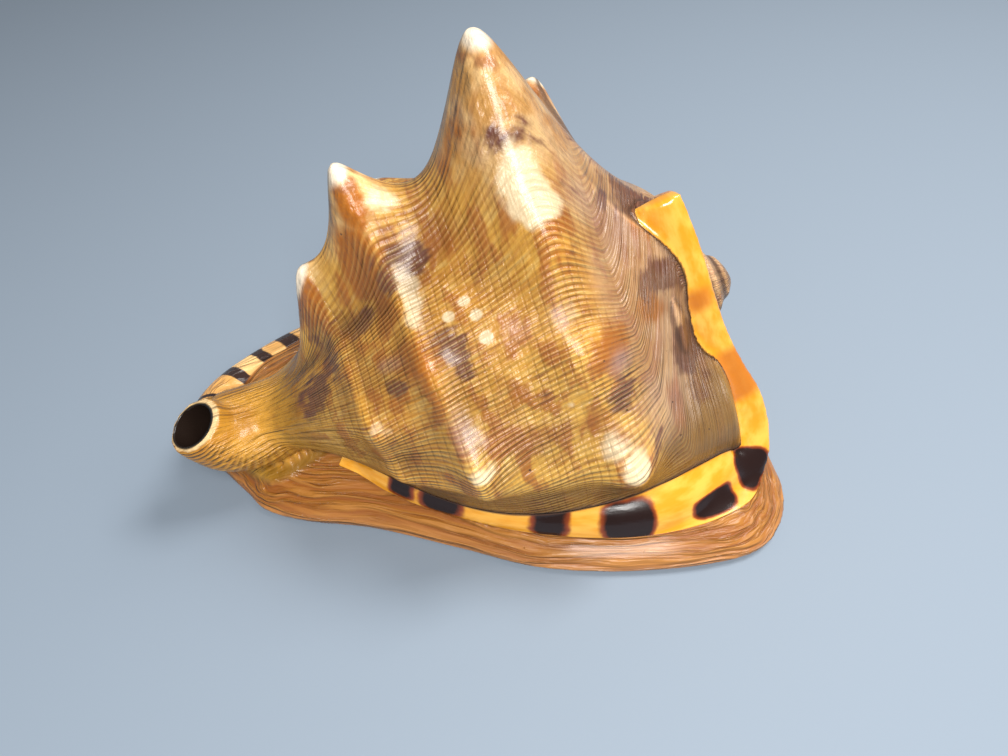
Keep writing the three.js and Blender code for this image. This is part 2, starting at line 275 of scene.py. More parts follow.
# %% [markdown]
# Shaping a sphere
#
# Every form here is closed and round, so each starts as a UV sphere. Its meridians
# count once round the form and its rings run from one end to the other. The helper
# reads where each vertex sits on the sphere and moves it to its place on the form.
# Modelling this by dragging single points would take days; a formula takes a second.

# %% Sphere shaper
def signed_volume(piece):
    mesh = piece.data
    mesh.calc_loop_triangles()
    corners = np.empty(len(mesh.loop_triangles) * 3, int)
    mesh.loop_triangles.foreach_get("vertices", corners)
    co = np.empty(len(mesh.vertices) * 3)
    mesh.vertices.foreach_get("co", co)
    a, b, c = co.reshape(-1, 3)[corners.reshape(-1, 3)].transpose(1, 0, 2)
    return float(np.einsum("ij,ij->i", a, np.cross(b, c)).sum() / 6)


def shaped_sphere(name, around_count, along_count, form):
    bpy.ops.object.select_all(action="DESELECT")
    bpy.ops.mesh.primitive_uv_sphere_add(segments=around_count, ring_count=along_count, radius=1)
    piece = bpy.context.object
    piece.name = name
    co = np.empty(len(piece.data.vertices) * 3)
    piece.data.vertices.foreach_get("co", co)
    co = co.reshape(-1, 3)
    turn = (np.arctan2(co[:, 1], co[:, 0]) / (2 * np.pi)) % 1
    way = np.arccos(np.clip(co[:, 2], -1, 1)) / np.pi
    at = form(turn, way) - CENTRE
    piece.data.vertices.foreach_set("co", (at / 1000).ravel())
    if signed_volume(piece) < 0:
        bpy.ops.object.mode_set(mode="EDIT")
        bpy.ops.mesh.select_all(action="SELECT")
        bpy.ops.mesh.flip_normals()
        bpy.ops.object.mode_set(mode="OBJECT")
    print(f"{name}: {len(piece.data.polygons)} faces")
    return piece


# a pole gathers its ring to the ring's own middle
def closed_ends(points, middle, way):
    end = (way < 1e-6) | (way > 1 - 1e-6)
    return np.where(end[:, None], middle, points)

# %% [markdown]
# The body whorl
#
# On the real shell this is the last turn of the tube, with its tall horn and its rows
# of knobs. It could be sculpted by hand, but then the growth lines would have nothing
# to follow. Here every vertex keeps its angle and distance, so they can run with it.

# %% Body whorl
def body_form(turn, way):
    angle = turn * 360 - 180
    along = 0.6 + (LENGTH - 1.2) * way
    height, shift = knob_lift(angle, along)
    radius = np.minimum(body_radius(angle, along) + height, reach_down(angle, along, UNDERSIDE))
    points = place(angle, along + shift, radius)
    return closed_ends(points, APEX - along[:, None] * AXIS, way)


body = shaped_sphere("body_whorl", 400, 300, body_form)

# %% [markdown]
# The shield and the outer lip
#
# The animal spread a flat skirt of shell round its mouth, and the shell rests on it.
# It could be an extruded outline, but its edge is thin on the shield side and thick on
# the lip side. So the rings of a sphere run over the edge, and their height changes
# from one side to the other.

# %% Shield and outer lip
def shield_ring(u):
    edge = curve_at(OUTLINE, u, closed=True)
    step = 1e-4
    run = curve_at(OUTLINE, (u + step) % 1, closed=True) - curve_at(OUTLINE, (u - step) % 1, closed=True)
    run /= np.linalg.norm(run, axis=1)[:, None]
    inward = np.stack([-run[:, 1], run[:, 0]], 1)
    near = ((edge[:, 0] - CORNER["x"]) ** 2 + (edge[:, 1] - CORNER["y"]) ** 2) / CORNER["spread"] ** 2
    return edge, inward, 1 + CORNER["widen"] * np.exp(-near)


def shield_form(turn, way):
    edge, inward, wide = shield_ring(turn)
    low, inset, high = curve_at(SHIELD_EDGE, (way - 0.02) / 0.96).T
    lip = ease((edge[:, 1] - LIP_SIDE[0]) / (LIP_SIDE[1] - LIP_SIDE[0]))
    flat = edge + inward * (inset * wide)[:, None]
    z = np.maximum(low + (high - low) * lip, 0)
    points = np.column_stack([flat, z])
    level = np.where(way < 0.5, 0.0, SHIELD_EDGE[-1][0])
    middle = np.column_stack([np.full_like(z, -10.0), np.full_like(z, -5.0), level])
    return closed_ends(points, middle, way)


shield = shaped_sphere("shield", 500, 60, shield_form)

# %% [markdown]
# The old rim band
#
# The amber band is the thick lip of an earlier stage of growth, left standing on the
# whorl. A bevelled curve would give a round tube; this band is flat on top and steep on
# its outer side, so one drawn section is swept along a line of points instead.

# %% Old rim band
def frames_along(rows, way, face):
    line = curve_at(rows, way)
    run = curve_at(rows, way + 1e-3) - curve_at(rows, way - 1e-3)
    along = run[:, :3] / np.linalg.norm(run[:, :3], axis=1)[:, None]
    across = np.cross(along, face)
    across /= np.linalg.norm(across, axis=1)[:, None]
    return line[:, :3], line[:, 3], across, np.cross(across, along)


def rim_form(turn, way):
    centre, half, across, out = frames_along(RIM_LINE, way, RIM_FACE)
    w, h = curve_at(RIM_SECTION, turn, closed=True).T
    points = centre + across * (w * half)[:, None] + out * h[:, None]
    return closed_ends(points, centre - out * 4, way)


rim = shaped_sphere("old_rim", 72, 320, rim_form)

# %% [markdown]
# The lip roll and the canal
#
# The outer lip is rolled like the rim of a bowl, and at the front it turns up into the
# canal, through which the animal drew water. Both are plain tubes of changing width, so
# one function makes the two of them.

# %% Lip roll and canal
UPRIGHT = np.array([0, 0, 1.0])


def tube_form(rows):
    def form(turn, way):
        centre, radius, across, out = frames_along(rows, way, UPRIGHT)
        t = turn * 2 * np.pi
        points = centre + (across * np.cos(t)[:, None] + out * np.sin(t)[:, None]) * radius[:, None]
        return closed_ends(points, centre, way)
    return form


lip_roll = shaped_sphere("lip_roll", 64, 160, tube_form(LIP_ROLL))
canal = shaped_sphere("canal_tube", 72, 90, tube_form(CANAL_TUBE))

# %% [markdown]
# One skin out of five forms
#
# The five forms overlap. A Remesh modifier in voxel mode wraps them in one closed skin
# of small, even faces and rounds the joints between them, as shell laid down in layers
# does. A light smoothing pass takes away the last trace of the voxels.

# %% Join and wrap
VOXEL = 0.00125


def apply_modifier(piece, kind, **settings):
    bpy.ops.object.select_all(action="DESELECT")
    piece.select_set(True)
    bpy.context.view_layer.objects.active = piece
    modifier = piece.modifiers.new(kind.lower(), kind)
    for key, value in settings.items():
        setattr(modifier, key, value)
    bpy.ops.object.modifier_apply(modifier=modifier.name)


bpy.ops.object.select_all(action="DESELECT")
for form in (body, shield, rim, lip_roll, canal):
    form.select_set(True)
bpy.context.view_layer.objects.active = body
bpy.ops.object.join()
shell = bpy.context.object
shell.name = "shell"
bpy.ops.object.transform_apply(location=True, rotation=True, scale=True)
apply_modifier(shell, "REMESH", mode="VOXEL", voxel_size=VOXEL)
apply_modifier(shell, "SMOOTH", factor=0.5, iterations=3)
print("wrapped skin:", len(shell.data.polygons), "faces")

# %% [markdown]
# Hollowing the shell
#
# The mouth is a narrow slot on the underside, with blunt teeth on the lip's side. Behind
# it lies the chamber where the animal lived, and the canal is the tube it breathed
# through. The three hollows are shaped like the forms above and cut out with Booleans.
# The slot is cut first, so that the chamber is never a sealed void. A cut face takes the
# finish of its cutter, so the chamber's walls get a paler glaze than the outside.

# %% Hollows
# one half of a turn follows the outer wall, the other half comes back along the inner one
def chamber_form(turn, way):
    c = CHAMBER
    angle = c["start"] + (c["end"] - c["start"]) * way
    opened = np.sqrt(np.clip((angle - c["start"] + 4) / 40, 0, 1))
    t = turn * 2
    u = np.where(t < 1, t, 2 - t)
    along = c["front"] + (c["back"] - c["front"]) * u
    full = np.minimum(newest_radius(angle, along) - c["wall"], reach_down(angle, along, c["floor"]))
    rounded = np.sqrt(np.maximum(1 - (2 * u - 1) ** 4, 0.02))
    outer = c["inner"] + np.maximum(full - c["inner"], 2) * opened * rounded
    points = place(angle, along, np.where(t < 1, outer, c["inner"]))
    middle = place(angle, np.full_like(angle, 100.0), np.full_like(angle, c["inner"] + 3.0))
    return closed_ends(points, middle, way)


# one half of a turn is the shield's smooth side, the other half the lip's side with teeth
def slot_form(turn, way):
    s = SLOT
    t = turn * 2
    u = np.where(t < 1, t, 2 - t)
    side = s["bow"] * np.sin(np.pi * u) - 18 * (1 - u) ** 2
    tooth = np.maximum(0, np.sin(2 * np.pi * s["teeth"] * u)) * s["depth"]
    y = np.where(t < 1, s["near"] + side, s["far"] + side - tooth - 5 * (1 - u))
    points = np.column_stack([s["front"] + (s["back"] - s["front"]) * u, y, -5 + (s["top"] + 5) * way])
    middle = np.column_stack([np.full_like(u, -20.0), np.full_like(u, 21.0), points[:, 2]])
    return closed_ends(points, middle, way)


hollows = [shaped_sphere("mouth_slot", 360, 12, slot_form), shaped_sphere("chamber", 80, 60, chamber_form),
           shaped_sphere("canal_bore", 56, 80, tube_form(CANAL_BORE))]

# %% Cut the hollows
def plain(name, colour, rough):
    material = bpy.data.materials.new(name)
    material.use_nodes = True
    shader = material.node_tree.nodes["Principled BSDF"]
    shader.inputs["Base Color"].default_value = (*colour, 1)
    shader.inputs["Roughness"].default_value = rough
    return material


skin = plain("shell_skin", (0.62, 0.36, 0.12), 0.35)
glaze = plain("chamber_glaze", (0.8, 0.5, 0.3), 0.3)
for finish in (skin, glaze):
    shell.data.materials.append(finish)
for hollow, finish in zip(hollows, (skin, glaze, skin)):
    hollow.data.materials.append(finish)
for hollow in hollows:
    apply_modifier(shell, "BOOLEAN", operation="DIFFERENCE", object=hollow, solver="MANIFOLD")
    bpy.data.objects.remove(hollow)
bpy.ops.object.shade_smooth()
triangles = sum(len(face.vertices) - 2 for face in shell.data.polygons)
print("shell with its hollows:", len(shell.data.polygons), "faces,", triangles, "triangles")
print("faces by finish:", np.bincount([face.material_index for face in shell.data.polygons]))

# %% Hand the shell to the frame
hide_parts("helmet_shell")
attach(shell, "root")
print("the shell stands for helmet_shell")

# %% [markdown]
# Where each point lies on the shell
#
# The finish follows the growth of the shell: lines mark where its edge once stood, bars
# count along the old rim, and wrinkles run round the shield. An unwrapped image could
# carry them, but would need hours of painting. So every point of the skin now gets its
# place on those forms written down as attributes, which a material can read.

# %% Where each point lies
def lies_along(points, rows, face, samples=500):
    way = np.linspace(0, 1, samples)
    centre, half, across, out = frames_along(rows, way, face)
    run = curve_at(rows, way + 1e-3)[:, :3] - curve_at(rows, way - 1e-3)[:, :3]
    nearest = np.concatenate([((part[:, None] - centre) ** 2).sum(2).argmin(1)
                              for part in np.array_split(points, 80)])
    off, length = points - centre[nearest], np.linalg.norm(run, axis=1)[nearest]
    ahead = np.einsum("ij,ij->i", off, run[nearest]) / length
    s = way[nearest] + ahead / (length / 2e-3)
    w = np.einsum("ij,ij->i", off, across[nearest]) / half[nearest]
    h = np.einsum("ij,ij->i", off, out[nearest])
    away = np.linalg.norm(off, axis=1) / half[nearest]
    return s, w, h, away


def outline_place(points, samples=900):
    way = np.linspace(0, 1, samples, endpoint=False)
    edge, inward, wide = shield_ring(way)
    flat = points[:, :2]
    nearest = np.concatenate([((part[:, None] - edge) ** 2).sum(2).argmin(1)
                              for part in np.array_split(flat, 80)])
    return way[nearest], ((flat - edge[nearest]) * inward[nearest]).sum(1)


co = np.empty(len(shell.data.vertices) * 3)
shell.data.vertices.foreach_get("co", co)
points = co.reshape(-1, 3) * 1000 + CENTRE
angle, along, radius = coil_place(points)
# horns lean, so the distance from the tip is found in a few steps
shift = 0
for again in range(3):
    knob, shift = knob_lift(angle, along - shift)
along = along - shift
over_body = radius - np.minimum(body_radius(angle, along) + knob, reach_down(angle, along, UNDERSIDE))
rim_s, rim_w, rim_h = lies_along(points, RIM_LINE, RIM_FACE)[:3]
lip_s, lip_w, _, lip_d = lies_along(points, LIP_ROLL, UPRIGHT)
canal_s, _, canal_h, canal_d = lies_along(points, CANAL_TUBE, UPRIGHT)
bore_d = lies_along(points, CANAL_BORE, UPRIGHT)[3]
skirt_s, skirt_in = outline_place(points)
print("body points:", int((over_body < 0.5).sum()), "of", len(points))

# %% [markdown]
# Bars, patches and tips
#
# The dark bars lie at stated places along the old rim and the lip, and the brown, rusty,
# cream and mauve patches at stated angles and distances on the whorl. The cream list is
# partly painted highlight: its broad patch at angle -15, 73 mm from the tip, paints a bright
# highlight on the shoulder together with pale colour. Each mark is a row in a list, and the
# lists become smooth fields that are high inside a mark and low outside.

# %% Bars
def bars(s, across, rows, per_unit):
    inside = []
    for low, high, centre, half in rows:
        out = ((s - (low + high) / 2) / (high - low) * 2) ** 4 + ((across - centre) / half) ** 4
        inside.append((1 - out**0.25) * (high - low) / 2 * per_unit)
    return np.clip(np.max(inside, axis=0), -6, 6)


# start, end, middle across, half the width
RIM_BARS = [
    (0.053, 0.081, 0, 1.2), (0.086, 0.125, 0, 1.3), (0.186, 0.219, 0, 2.5), (0.247, 0.304, 0.1, 1.6),
    (0.352, 0.420, 0.35, 0.62), (0.438, 0.508, 0.15, 1.0)]
RIM_STAINS = [
    (0.61, 0.71, 0.2, 1.5), (0.80, 0.835, -0.2, 0.9)]
LIP_BARS = [
    (0.12, 0.16, 0, 9), (0.26, 0.31, 0, 9), (0.40, 0.45, 0, 9), (0.50, 0.54, 0, 9), (0.62, 0.68, 0, 9),
    (0.84, 0.88, 0, 9)]
print(len(RIM_BARS), "bars on the old rim,", len(LIP_BARS), "on the lip")

# %% Patches of colour
MEAN_RADIUS, PATCH_SOFTNESS = 62, 2.6


def patches(rows):
    total = np.zeros(len(points))
    for a, q, reach_a, reach_q, strength in rows:
        turn = np.radians((angle - a + 540) % 360 - 180) * MEAN_RADIUS
        away = (turn / reach_a) ** 2 + ((along - q) / reach_q) ** 2
        total = np.maximum(total, strength * np.exp(-away / PATCH_SOFTNESS))
    return total


# angle, distance from the tip, reach round, reach along, strength
BROWN = [
    (-12, 111, 3, 4, 1.0), (-16, 121, 4, 4, 0.8), (-43, 106, 6, 3, 0.9), (-48, 126, 4, 3, 0.7),
    (-17, 131, 5, 4, 0.6), (-34, 158, 11, 6, 0.8), (-30, 147, 8, 5, 0.6), (-1, 38, 7, 5, 1.1),
    (-36, 39, 6, 5, 1.3), (-76, 33, 12, 4, 1.3), (-95, 33, 5, 4, 0.7), (-69, 62, 6, 4, 0.7),
    (-91, 58, 6, 7, 0.4), (-8, 73, 3, 4, 0.55), (-2, 49, 8, 6, 0.4), (0, 159, 18, 9, 0.45),
    (30, 95, 8, 9, 0.7), (60, 110, 10, 7, 0.7), (95, 100, 9, 9, 0.6), (40, 140, 9, 7, 0.6),
    (75, 140, 8, 6, 0.6), (120, 120, 10, 9, 0.6), (60, 62, 7, 6, 0.7), (110, 75, 9, 7, 0.6)]
RUST = [
    (-9, 127, 5, 4, 0.9), (-20, 125, 7, 3, 0.6), (-42, 121, 6, 6, 0.7), (-58, 95, 5, 7, 0.55),
    (-52, 80, 4, 4, 0.6), (-48, 47, 5, 4, 0.7), (-56, 62, 5, 6, 0.6), (-5, 145, 3, 3, 0.9),
    (-1, 120, 3, 3, 0.9), (-82, 107, 3, 3, 0.6), (-73, 102, 3, 4, 0.8), (-74, 74, 7, 9, 0.4),
    (-27, 69, 4, 4, 0.5), (-22, 70, 4, 4, 0.6), (-11, 98, 6, 5, 0.45), (-78, 91, 5, 8, 0.4),
    (-12, 116, 3, 3, 0.7), (-16, 41, 5, 4, 0.3), (2, 86, 5, 3, 0.35), (45, 80, 12, 10, 0.4),
    (85, 110, 12, 12, 0.4), (50, 125, 12, 8, 0.4)]
# pale cream patches; the broad one at angle -15, 73 mm from the tip, is partly painted highlight
CREAM_AND_HIGHLIGHT = [
    (-22, 115, 10, 3, 0.9), (-33, 114, 5, 2, 0.6), (-15, 73, 5, 5, 1.3), (1, 119, 2, 3, 0.7),
    (0, 113, 3, 4, 0.7), (2, 142, 2, 2, 0.7), (-78, 110, 3, 4, 1.0), (-89, 65, 3, 4, 1.0),
    (-83, 69, 4, 4, 0.7), (-32, 106, 1.3, 1.3, 1.6), (-29, 100, 1.3, 1.3, 1.5), (-34, 98, 1.3, 1.3, 1.5),
    (-41, 97, 1.3, 1.3, 1.6), (-43, 72, 6, 3, 0.35), (-41, 90, 1.2, 1.2, 0.7), (-67, 79, 1.2, 1.2, 0.8),
    (-60, 138, 4, 4, 0.5)]
MAUVE = [
    (-40, 128, 3, 4, 0.7), (-61, 60, 4, 5, 0.8), (-77, 57, 11, 9, 0.6), (-16, 51, 9, 8, 0.7),
    (-67, 112, 8, 3, 0.8), (-14, 60, 5, 5, 0.4), (-2, 113, 3, 3, 0.4), (-92, 42, 12, 9, 0.4),
    (-83, 71, 3, 3, 0.6), (-14, 146, 7, 5, 0.4), (-21, 33, 7, 3, 0.6), (20, 45, 14, 8, 0.6),
    (60, 60, 14, 6, 0.4)]
print(len(BROWN), "brown,", len(RUST), "rust,", len(CREAM_AND_HIGHLIGHT), "cream and", len(MAUVE), "mauve patches")

# %% Tips and growth
TALL_HORN, TIP_DEPTH, TIP_SHARE = 12, 9, 0.4
shoulder = around(STATIONS, 2, angle)
tip = np.zeros(len(points))
for a, q, high, reach, rounding, lean in KNOBS:
    if high > TALL_HORN:
        turn = np.radians((angle - a + 540) % 360 - 180) * around(STATIONS, 1, np.array([a]))
        away = np.hypot(np.hypot(turn, along - q), rounding) - rounding
        fall = high - high * np.clip(1 - away / reach, 0, 1) ** HORN_POWER
        tip = np.maximum(tip, np.clip(1 - fall / min(TIP_DEPTH, TIP_SHARE * high), 0, 1))
inward = shoulder - along
# growth lines bend at the shoulder and sweep back over the ramp
growth = np.radians(angle) * MEAN_RADIUS + 0.24 * np.sqrt(inward**2 + 16)
growth = growth - 80 * np.clip((inward - 14) / 24, 0, 1) ** 1.5
print("points on a white tip:", int((tip > 0.5).sum()))

# %% Write the fields
RIM_LENGTH, CANAL_LENGTH, LIP_LENGTH = 260, 52, 120
# these three are above 0 on their own form and below 0 off it
on_rim = np.minimum.reduce([(1.04 - rim_w) * 6, over_body - 0.5, rim_h + 5, (rim_s + 0.03) * 200,
                            (1.02 - rim_s) * 200, (rim_w + 1.9) * 6])
on_canal = np.minimum((1.35 - canal_d) * 12, (canal_s + 0.35) * 30)
on_lip = np.minimum((1.12 - lip_d) * 8, (lip_s - 0.02) * 100)
fields = {
    "grow": growth, "spiral": along, "angle": angle, "ramp": inward, "tip": tip, "lift": knob,
    "over_body": np.clip(over_body, -5, 20), "height": points[:, 2],
    "on_rim": np.clip(on_rim, -5, 5), "rim_across": rim_w, "rim_along": rim_s * RIM_LENGTH,
    "rim_bars": bars(rim_s, rim_w, RIM_BARS, RIM_LENGTH),
    "rim_stains": bars(rim_s, rim_w, RIM_STAINS, RIM_LENGTH),
    "skirt_x": np.cos(skirt_s * 2 * np.pi) * 3.5, "skirt_y": np.sin(skirt_s * 2 * np.pi) * 3.5,
    "skirt_up": points[:, 2] * 0.8 + skirt_in,
    "on_canal": np.clip(on_canal, -5, 5), "canal_along": canal_s * CANAL_LENGTH, "canal_under": -canal_h,
    "on_lip": np.clip(on_lip, -5, 5), "lip_bars": bars(lip_s, lip_w, LIP_BARS, LIP_LENGTH),
    "in_bore": np.clip((1.07 - bore_d) * 8, -5, 5),
    "brown": patches(BROWN), "rust": patches(RUST), "cream_and_highlight": patches(CREAM_AND_HIGHLIGHT), "mauve": patches(MAUVE)}
for name, values in fields.items():
    shell.data.attributes.new(name, "FLOAT", "POINT").data.foreach_set("value", values.astype(np.float32))
print(len(fields), "fields on", len(points), "points")

# %% [markdown]
# Finishes as socket maths
#
# A finish is a small graph of nodes. Writing it as sums and products of sockets keeps it
# readable: the class below wraps one socket, and each operator adds its Math node.

# %% Socket maths
class Sock:
    def __init__(self, tree, socket):
        self.tree, self.socket = tree, socket

    def node(self, kind, settings=None, out=0, **values):
        n = self.tree.nodes.new(kind)
        for key, value in (settings or {}).items():
            setattr(n, key, value)
        for key, value in values.items():
            numbered = key[0] == "i" and key[1:].isdigit()
            socket = n.inputs[int(key[1:]) if numbered else key.replace("_", " ")]
            if isinstance(value, Sock):
                self.tree.links.new(value.socket, socket)
            else:
                socket.default_value = value
        return Sock(self.tree, n.outputs[out])

    def maths(self, operation, *others):
        return self.node("ShaderNodeMath", {"operation": operation},
                         **{f"i{k}": v for k, v in enumerate((self, *others))})

    def __add__(self, o):
        return self.maths("ADD", o)

    def __sub__(self, o):
        return self.maths("SUBTRACT", o)

    def __mul__(self, o):
        return self.maths("MULTIPLY", o)

    def __pow__(self, o):
        return self.maths("POWER", o)

    def __neg__(self):
        return self.maths("MULTIPLY", -1.0)

    def __radd__(self, o):
        return self + o

    def __rmul__(self, o):
        return self * o

    def __rsub__(self, o):
        return self.maths("MULTIPLY", -1.0) + o

    def sin(self):
        return self.maths("SINE")

    # a colour that runs from a to b as this value runs from 0 to 1
    def tint(self, a, b):
        a, b = (v if isinstance(v, Sock) else (*v, 1) for v in (a, b))
        return self.node("ShaderNodeMix", {"data_type": "RGBA"}, out=2, i0=self, i6=a, i7=b)

    # 0 up to a, 1 from b on, and a smooth step in between; a may be above b
    def between(self, a, b):
        return self.node("ShaderNodeMapRange", {"interpolation_type": "SMOOTHSTEP"}, Value=self,
                         From_Min=a, From_Max=b, To_Min=0.0, To_Max=1.0)


print("socket maths ready")

# %% [markdown]
# The finish of the body
#
# The whorl is ochre and honey, crossed by fine growth cords and fainter spiral lines,
# with a greyer ramp, worn pale horns and a dark, smooth neck. Below the keel, where the
# side faces down, a dark olive-brown is laid on as painted shade. The streaky noise is
# read on the shell's own growth coordinates, so it bends with the cords. Later colours
# are laid over earlier ones, as glazes are.

# %% Tools for the skin
tree = skin.node_tree
base = Sock(tree, None)
spot = base.node("ShaderNodeTexCoord", out=3)
field = {name: base.node("ShaderNodeAttribute", {"attribute_name": name}, out=2) for name in fields}


def noise(scale, detail=3.0, at=spot):
    return base.node("ShaderNodeTexNoise", Vector=at, Scale=scale, Detail=detail)


def grid(u, v, w=0.0):
    return base.node("ShaderNodeCombineXYZ", X=u, Y=v, Z=w)


print(len(field), "fields read by", skin.name)

# %% Fine lines and regions
CORD_STEP, THREAD_STEP, LINE_STEP = 1.65, 0.62, 2.5
warp = noise(40, 2) - 0.5
broad, middling, fine = noise(16), noise(55), noise(420, 2)
mottle = noise(1.0, 4, grid(field["grow"] * 0.085, field["spiral"] * 0.15))
dashes = noise(1.0, 3, grid(field["grow"] * 0.5, field["spiral"] * 0.11, 4.0))
smooth_part = field["spiral"].between(150, 168)
on_ramp = field["ramp"].between(2, 14)
# painted shade: the down-facing side below the keel, past angle -91, is marked to be darkened
painted_shade_below_keel = (-field["angle"]).between(91, 99)
on_horn = field["lift"].between(9, 24)
cord = ((field["grow"] + warp * 2.6) * (2 * math.pi / CORD_STEP)).sin() * 0.5 + 0.5
thread = ((field["grow"] + warp * 1.4) * (2 * math.pi / THREAD_STEP)).sin() * 0.5 + 0.5
line = ((field["spiral"] + warp * 2.2) * (2 * math.pi / LINE_STEP)).sin().between(0.45, 0.98)
strong = noise(70, 2).between(0.3, 0.62) * 0.75 + 0.25
strong = strong * (1 - smooth_part * 0.93) * (1 - on_ramp * 0.45) * (1 - on_horn * 0.8)
print("nodes so far:", len(tree.nodes))

# %% Colours of the body
OCHRE, HONEY = (0.68, 0.31, 0.028), (0.88, 0.49, 0.07)
BURNT, STRAW, CHESTNUT = (0.46, 0.16, 0.012), (0.88, 0.55, 0.14), (0.44, 0.12, 0.008)
RAMP_DARK, RAMP_PALE = (0.33, 0.18, 0.125), (0.64, 0.45, 0.31)
HORN_PALE, HORN_DARK = (0.74, 0.49, 0.24), (0.48, 0.23, 0.07)
# dark olive-brown used as painted shade on the side below the keel
UNDER_PAINTED_SHADE = (0.17, 0.085, 0.008)
NECK_DARK, NECK_PALE = (0.22, 0.10, 0.008), (0.42, 0.22, 0.025)
PATCH_RUST, PATCH_BROWN = (0.42, 0.125, 0.006), (0.115, 0.035, 0.028)
# the cream colour is also used as a painted highlight on the shoulder at angle -15
PATCH_MAUVE, PATCH_CREAM_AND_HIGHLIGHT = (0.42, 0.27, 0.24), (0.88, 0.68, 0.40)
CORD_TOP, CORD_GROOVE = (0.93, 0.60, 0.17), (0.27, 0.085, 0.006)
LINE_BROWN, THREAD_BROWN = (0.24, 0.08, 0.01), (0.24, 0.09, 0.01)
TIP_RING, TIP_WHITE = (0.32, 0.12, 0.04), (0.78, 0.66, 0.50)
PIT_DARK = (0.05, 0.02, 0.01)
print("ochre to honey:", OCHRE, HONEY)

# %% Broad colours
ramp_colour = middling.between(0.35, 0.65).tint(RAMP_DARK, RAMP_PALE)
horn_colour = noise(85, 4).between(0.40, 0.62).tint(HORN_PALE, HORN_DARK)
neck_colour = noise(45).between(0.35, 0.65).tint(NECK_DARK, NECK_PALE)
body = broad.between(0.38, 0.62).tint(OCHRE, HONEY)
body = (dashes.between(0.5, 0.68) * 0.6).tint(body, BURNT)
body = (dashes.between(0.48, 0.32) * 0.8).tint(body, STRAW)
body = (mottle.between(0.51, 0.62) * 0.8).tint(body, CHESTNUT)
body = (on_ramp * 0.65).tint(body, ramp_colour)
body = (on_horn * 0.8).tint(body, horn_colour)
# painted shade on the down-facing side below the keel
body = (painted_shade_below_keel * 0.85).tint(body, UNDER_PAINTED_SHADE)
body = (smooth_part * 0.85).tint(body, neck_colour)
print("nodes so far:", len(tree.nodes))

# %% Patches, lines and tips
is_rust = field["rust"] + (middling - 0.5) * 1.3 + (mottle - 0.5) * 0.8
is_brown = field["brown"] + (noise(75, 4) - 0.5) * 2.0 + (dashes - 0.5) * 1.0
is_mauve = field["mauve"] + (middling - 0.5) * 0.9
is_cream_and_highlight = field["cream_and_highlight"] + (noise(160, 3) - 0.5) * 1.0 + (middling - 0.5) * 0.8
body = is_rust.between(0.16, 0.52).tint(body, PATCH_RUST)
body = is_brown.between(0.28, 0.66).tint(body, PATCH_BROWN)
body = (is_mauve.between(0.25, 0.95) * 0.8).tint(body, PATCH_MAUVE)
body = (cord * cord * strong * 0.34).tint(body, CORD_TOP)
body = ((1 - cord) ** 2.0 * strong * 0.5).tint(body, CORD_GROOVE)
body = (line * strong * 0.26).tint(body, LINE_BROWN)
body = (thread * 0.1 * (1 - smooth_part)).tint(body, THREAD_BROWN)
# cream patches, one of them partly painted highlight on the shoulder at angle -15
body = is_cream_and_highlight.between(0.42, 0.85).tint(body, PATCH_CREAM_AND_HIGHLIGHT)
tip_ring = field["tip"].between(0.1, 0.35) * field["tip"].between(0.7, 0.45)
tip_ring = tip_ring * noise(140, 2).between(0.42, 0.6)
body = (tip_ring * 0.8).tint(body, TIP_RING)
body = (field["tip"] + (middling - 0.5) * 0.3).between(0.5, 0.8).tint(body, TIP_WHITE)
pit = base.node("ShaderNodeTexVoronoi", Vector=spot, Scale=130.0).between(0.06, 0.03)
pit = pit * noise(30, 1).between(0.5, 0.58)
body = (pit * 0.85).tint(body, PIT_DARK)
print("nodes so far:", len(tree.nodes))

# %% [markdown]
# Rim, shield, canal and lip
#
# The old rim is polished amber with nearly black bars that bleed a little at their
# edges. The shield is laid down in thin wavy layers, the canal in scales, and the lip
# has bars of its own. Each gets its own few lines and its own colours.

# %% Old rim colours
RIM_AMBER, RIM_GOLD, RIM_STAIN = (0.64, 0.26, 0.012), (0.76, 0.38, 0.055), (0.42, 0.12, 0.012)
BAR_BLEED, BAR_DARK = (0.20, 0.035, 0.006), (0.012, 0.004, 0.003)
rim_flow = noise(1.0, 3, grid(field["rim_along"] * 0.09, field["rim_across"] * 1.5))
rim_paint = rim_flow.between(0.35, 0.68).tint(RIM_AMBER, RIM_GOLD)
rim_paint = (field["rim_stains"].between(-3, 3) * 0.85).tint(rim_paint, RIM_STAIN)
bar_edge = field["rim_bars"] + (noise(260, 2) - 0.5) * 1.6 - field["rim_across"].between(0.5, 1.1) * 0.8
rim_paint = bar_edge.between(-1.1, 0.3).tint(rim_paint, BAR_BLEED)
rim_paint = bar_edge.between(0.0, 1.5).tint(rim_paint, BAR_DARK)
print("nodes so far:", len(tree.nodes))

# %% Shield wrinkles
SHIELD_DARK, SHIELD_PALE = (0.235, 0.078, 0.009), (0.37, 0.15, 0.026)
SHIELD_LINE, SHIELD_FOOT = (0.24, 0.062, 0.012), (0.48, 0.21, 0.07)
wave = noise(1.0, 2, grid(field["skirt_x"] * 0.65, field["skirt_y"] * 0.65, field["skirt_up"] * 0.08)) * 9.0
layers = noise(1.0, 3, grid(field["skirt_x"], field["skirt_y"], field["skirt_up"] * 0.62 + wave * 0.8))
wrinkle = (field["skirt_up"] * 1.35 + wave * 3.2).sin() * 0.5 + 0.5
wrinkle = wrinkle * layers.between(0.25, 0.6)
shield_paint = layers.between(0.36, 0.62).tint(SHIELD_DARK, SHIELD_PALE)
shield_paint = ((1 - wrinkle) ** 4.0 * 0.35).tint(shield_paint, SHIELD_LINE)
shield_paint = (field["skirt_up"].between(9, 2) * 0.45).tint(shield_paint, SHIELD_FOOT)
print("nodes so far:", len(tree.nodes))

